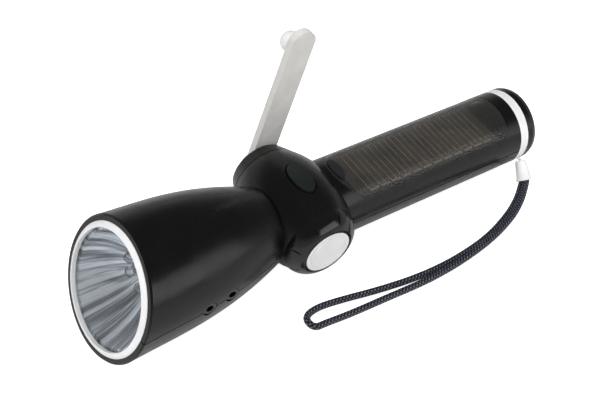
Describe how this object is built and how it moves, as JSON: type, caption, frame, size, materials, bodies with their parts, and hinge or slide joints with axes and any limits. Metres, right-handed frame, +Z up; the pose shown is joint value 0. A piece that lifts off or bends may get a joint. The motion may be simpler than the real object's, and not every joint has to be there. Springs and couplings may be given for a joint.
{
  "type": "hand crank flashlight",
  "caption": "Torch with a slanted flared head, a round hub with a fold-out winding crank, a solar window along the grip, two sockets and a looped wrist cord.",
  "frame": {"origin": "centre of the flat end face of the tail cap", "axes": "+Y from the lens to the tail, +Z up through the solar window, +X towards the round side cap and the strap"},
  "size_m": [0.0978, 0.2429, 0.1073],
  "materials": {
    "black_shell": "moulded black ABS, satin to gloss",
    "white_plastic": "moulded white ABS",
    "pale_arm": "moulded pale grey ABS",
    "clear_lens": "clear moulded plastic",
    "clear_window": "clear moulded plastic over the solar cell",
    "clear_lamp": "clear epoxy",
    "silvered_plastic": "plastic with a bright metal coat",
    "solar_silicon": "dark solar silicon under resin",
    "circuit_board": "circuit board under a dark solder mask",
    "switch_plastic": "moulded switch body",
    "dark_button": "moulded dark grey button",
    "button_rubber": "moulded dark rubber",
    "jack_plastic": "moulded black socket",
    "gear_nylon": "moulded natural nylon",
    "steel": "turned steel",
    "plate_steel": "pressed steel",
    "bronze": "sintered bronze",
    "copper_coil": "enamelled copper wire",
    "magnet": "plated magnet",
    "battery_sleeve": "shrink-wrapped steel cells",
    "white_string": "thin white string",
    "cord_braid": "braided navy cord with pale flecks"
  },
  "bodies": {
    "torch": {"upper_shell": "black_shell", "lower_shell": "black_shell", "lens_ring": "white_plastic", "lens": "clear_lens", "reflector": "silvered_plastic", "lamp_board": "circuit_board", "lamps": "clear_lamp", "solar_window": "clear_window", "solar_board": "circuit_board", "solar_cell": "solar_silicon", "window_switch": "switch_plastic", "power_board": "circuit_board", "power_switch": "switch_plastic", "output_jack": "jack_plastic", "input_jack": "jack_plastic", "main_board": "circuit_board", "side_cap": "black_shell", "cap_disc": "white_plastic", "crank_bush": "bronze", "idler_axle": "steel", "gear_plate": "plate_steel", "generator_can": "plate_steel", "generator_coil": "copper_coil", "battery_cells": "battery_sleeve", "shell_screws": "steel", "tail_band": "white_plastic", "tail_cap": "black_shell", "strap_string": "white_string", "strap_sleeve": "white_plastic", "strap_cord": "cord_braid"},
    "crank": {"crank_hub": "black_shell", "crank_arm": "pale_arm", "crank_shaft": "steel", "arm_screw": "steel", "knob_pin": "steel", "drive_gear": "gear_nylon"},
    "knob": {"crank_knob": "white_plastic"},
    "idler": {"idler_gear": "gear_nylon"},
    "rotor": {"rotor_magnet": "magnet", "rotor_shaft": "steel"},
    "power_press": {"power_button": "button_rubber", "power_plunger": "switch_plastic"},
    "window_press": {"window_button": "dark_button", "window_plunger": "switch_plastic"}
  },
  "joints": [
    {"name": "crank_turn", "type": "hinge", "parent": "torch", "child": "crank", "pos_m": [0, -0.136, 0], "axis": [1, 0, 0], "continuous": true},
    {"name": "idler_turn", "type": "hinge", "parent": "torch", "child": "idler", "pos_m": [0, -0.1245, 0], "axis": [1, 0, 0], "continuous": true},
    {"name": "rotor_turn", "type": "hinge", "parent": "torch", "child": "rotor", "pos_m": [0, -0.136, 0], "axis": [1, 0, 0], "continuous": true},
    {"name": "knob_spin", "type": "hinge", "parent": "crank", "child": "knob", "pos_m": [0, -0.1214, 0.06641], "axis": [1, 0, 0], "continuous": true},
    {"name": "power_push", "type": "slide", "parent": "torch", "child": "power_press", "axis": [0, 0, -1], "range_m": [0, 0.001], "stiffness_N_per_m": 1500, "springref_m": -0.0005},
    {"name": "window_push", "type": "slide", "parent": "torch", "child": "window_press", "axis": [0, 0, -1], "range_m": [0, 0.0006], "stiffness_N_per_m": 1500, "springref_m": -0.0005}
  ],
  "couplings": [
    {"joint": "idler_turn", "follows": "crank_turn", "ratio": -3.6},
    {"joint": "rotor_turn", "follows": "crank_turn", "ratio": 12.96}
  ]
}
